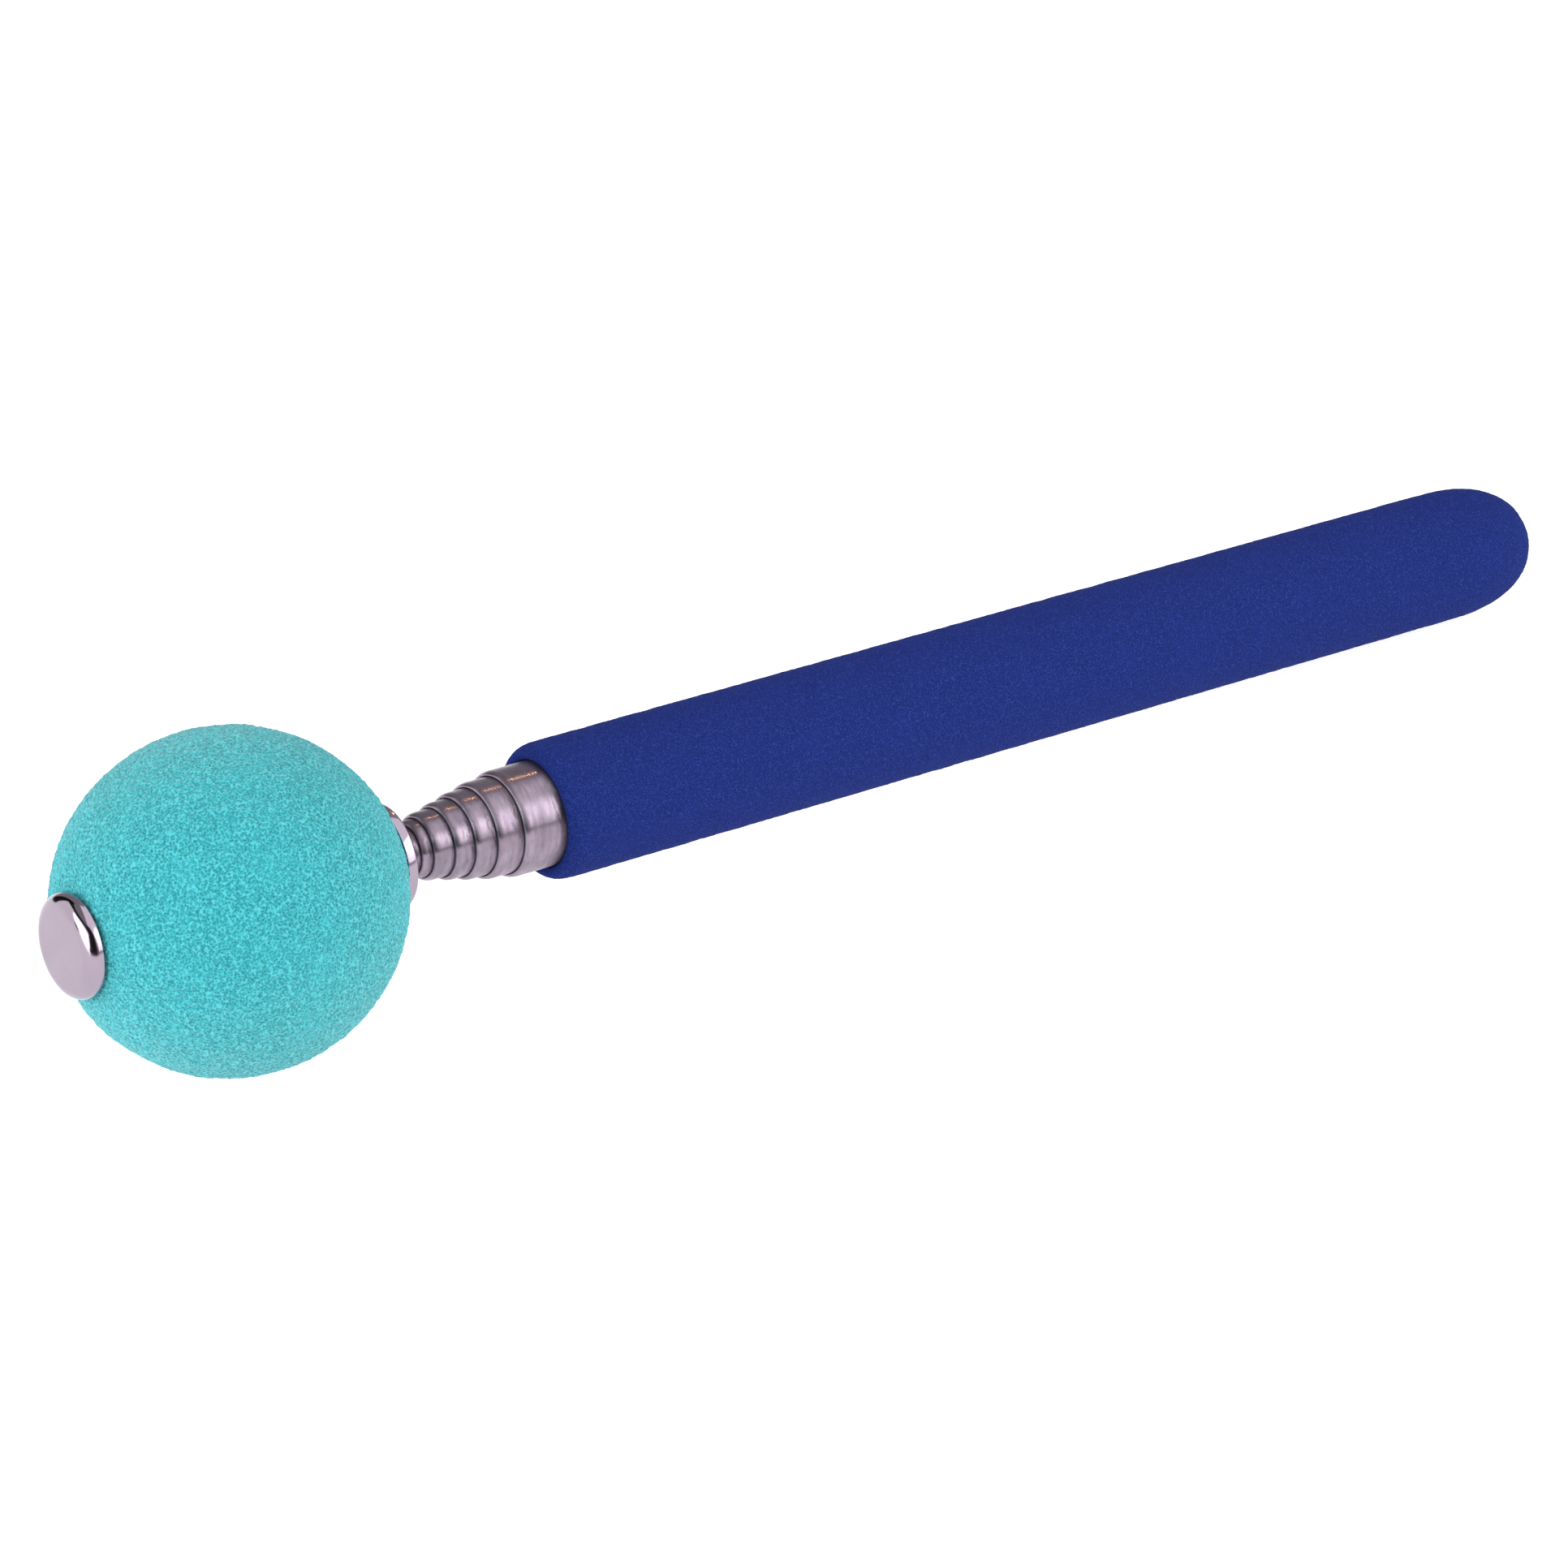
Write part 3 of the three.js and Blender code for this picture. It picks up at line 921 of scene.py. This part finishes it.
def turned_metal(name, colour, tarnish, roughness):
    """A lathe-turned metal: rings along X, with a thin uneven tarnish."""
    material, tree, shader = fresh_material(name, colour, roughness, 1.0)
    rings = noise(tree, place_on_piece(tree, (12000, 300, 300)), 1.0, detail=2)
    cloud = noise(tree, place_on_piece(tree), 600, detail=3, roughness=0.6)
    shade = blend_colours(tree, spread(tree, cloud, 0.4, 0.75, 0, 0.7), colour, tarnish)
    tree.links.new(shade, shader.inputs["Base Color"])
    tree.links.new(spread(tree, rings, 0.3, 0.7, roughness, roughness + 0.15), shader.inputs["Roughness"])
    bump(tree, shader, rings, 0.004 * MM, 0.4)
    return material


NYLON = (0.62, 0.60, 0.54)
NYLON_PALE = (0.70, 0.68, 0.62)


def moulded_nylon():
    material, tree, shader = fresh_material("natural_nylon", NYLON, 0.45, 0.0)
    cloud = noise(tree, place_on_piece(tree), 500, detail=3)
    shade = blend_colours(tree, spread(tree, cloud, 0.35, 0.7, 0, 1), NYLON, NYLON_PALE)
    tree.links.new(shade, shader.inputs["Base Color"])
    tree.links.new(spread(tree, cloud, 0.3, 0.7, 0.4, 0.55), shader.inputs["Roughness"])
    bump(tree, shader, cloud, 0.01 * MM, 0.4)
    return material


INNER_FINISHES = {
    "spring_bronze": turned_metal("spring_bronze", (0.50, 0.28, 0.13), (0.32, 0.17, 0.09), 0.28),
    "nickel_plate": turned_metal("nickel_plate", (0.60, 0.57, 0.52), (0.48, 0.45, 0.40), 0.15),
    "turned_brass": turned_metal("turned_brass", (0.68, 0.50, 0.22), (0.50, 0.34, 0.14), 0.22),
    "drawn_aluminium": turned_metal("drawn_aluminium", (0.72, 0.72, 0.73), (0.58, 0.58, 0.60), 0.32),
    "natural_nylon": moulded_nylon(),
}


def slot_of_node(name):
    subparts = frame["record"]["subparts"]
    return next(part["material_slot"] for part in subparts if part["node"] == name)


for name, node in frame["nodes"].items():
    finish_for = INNER_FINISHES.get(slot_of_node(name))
    if finish_for:
        for material_slot in node.material_slots:
            material_slot.material = finish_for

print("inner finishes:", len(INNER_FINISHES))

# %% [markdown]
# ## The floor
# A plain white floor. The tool rests on it, so it slopes with the table found above. It is lit so
# brightly that it reads as clean white, and it is what the metal mirrors from below. A little of its
# light is its own emission, which keeps the white even right to the edges of the picture.

# %% Lay the floor
FLOOR_SIZE = 40.0


def floor_material():
    material, tree, shader = fresh_material("white_floor", (0.40, 0.40, 0.40), 0.9, 0.0)
    mottle = noise(tree, place_on_piece(tree), 40, detail=2)
    shade = blend_colours(tree, mottle, (0.39, 0.39, 0.39), (0.41, 0.41, 0.41))
    tree.links.new(shade, shader.inputs["Base Color"])
    shader.inputs["Specular IOR Level"].default_value = 0.0
    shader.inputs["Emission Color"].default_value = (1.0, 0.985, 1.0, 1)
    shader.inputs["Emission Strength"].default_value = 0.9
    return material


def lay_floor():
    deselect_all()
    bpy.ops.mesh.primitive_plane_add(size=FLOOR_SIZE, location=(0, 0, 0))
    floor = bpy.context.object
    floor.name = "floor"
    tilt = Matrix.Rotation(-slope, 4, "Y")
    floor.matrix_world = Matrix.Translation(TABLE_POINT) @ tilt
    dress(floor, floor_material())
    return floor


floor = lay_floor()
floor_up = floor.matrix_world.to_3x3() @ Vector((0, 0, 1))
print("floor tilt error:", round((floor_up - TABLE_UP).length, 6))

# %% [markdown]
# ## Light
# Large soft panels do most of the work, since polished metal looks like whatever stands round it. A low
# panel past the tip draws the bright crescent on the cap, one beside the camera fills the middle of
# the tubes, and a wide one overhead lights the foam. A black drape round the tip's side of the room
# shows only in the cap, as the thin dark line along its edge: a mirror needs something dark to look
# like a mirror. One small warm lamp puts a glint on every edge.

# %% Hang the lights
LIGHT_TARGET = Vector((0.04, 0, 0))


def add_panel(name, direction, distance, width, height, radiance, colour=(1, 1, 1)):
    """A soft panel that faces the tool. Radiance 1 looks white to the camera."""
    data = bpy.data.lights.new(name, "AREA")
    data.shape = "RECTANGLE"
    data.size = width
    data.size_y = height
    data.energy = radiance * math.pi * width * height
    data.color = colour
    lamp = bpy.data.objects.new(name, data)
    bpy.context.scene.collection.objects.link(lamp)
    away = Vector(direction).normalized()
    lamp.location = LIGHT_TARGET + away * distance
    lamp.rotation_mode = "QUATERNION"
    lamp.rotation_quaternion = away.to_track_quat("Z", "Y")
    lamp.visible_camera = False
    return lamp


def set_world(strength):
    world = bpy.data.worlds.new("room")
    world.use_nodes = True
    background = world.node_tree.nodes["Background"]
    background.inputs["Color"].default_value = (1.0, 0.96, 1.0, 1)
    background.inputs["Strength"].default_value = strength
    bpy.context.scene.world = world


set_world(0.38)
add_panel("tip_panel", (-0.95, -0.12, 0.36), 3.2, 3.6, 2.8, 3.2)
add_panel("back_panel", (-0.68, 0.66, 0.38), 3.2, 2.4, 2.8, 1.3)
add_panel("top_panel", (0.60, -0.42, 1.0), 3.6, 4.6, 5.0, 1.1)
add_panel("side_panel", (0.547, -0.68, 0.46), 3.2, 2.8, 2.4, 2.2)
add_panel("warm_lamp", (0.547, 0.50, 0.67), 3.2, 0.03, 0.03, 1350.0, (1.0, 0.60, 0.25))
bpy.context.scene.view_settings.view_transform = "Standard"

# %% [markdown]
# The drape is half of an open drum that stands behind the panels. It is cut from a cylinder without
# ends by bisecting it down the middle. The camera looks through it.

# %% Hang the black drape
DRAPE_RADIUS = 3.6
DRAPE_HEIGHT = 6.0
DRAPE_SIDES = 48
DRAPE_END_X = 0.1


def hang_drape():
    deselect_all()
    bpy.ops.mesh.primitive_cylinder_add(
        vertices=DRAPE_SIDES,
        radius=DRAPE_RADIUS,
        depth=DRAPE_HEIGHT,
        end_fill_type="NOTHING",
        location=(0, 0, DRAPE_HEIGHT / 2),
    )
    drape = bpy.context.object
    drape.name = "black_drape"
    bpy.ops.object.transform_apply(location=True, rotation=True, scale=True)
    bpy.ops.object.mode_set(mode="EDIT")
    bpy.ops.mesh.select_all(action="SELECT")
    bpy.ops.mesh.bisect(plane_co=(DRAPE_END_X, 0, 0), plane_no=(1, 0, 0), clear_outer=True)
    bpy.ops.object.mode_set(mode="OBJECT")
    material, tree, shader = fresh_material("black_cloth", (0.012, 0.010, 0.011), 1.0, 0.0)
    weave = noise(tree, place_on_piece(tree), 30, detail=2)
    shade = blend_colours(tree, weave, (0.010, 0.008, 0.009), (0.014, 0.012, 0.013))
    tree.links.new(shade, shader.inputs["Base Color"])
    shader.inputs["Specular IOR Level"].default_value = 0.0
    dress(drape, material)
    drape.visible_camera = False
    drape.visible_diffuse = False
    return drape


drape = hang_drape()
print("drape faces:", len(drape.data.polygons))
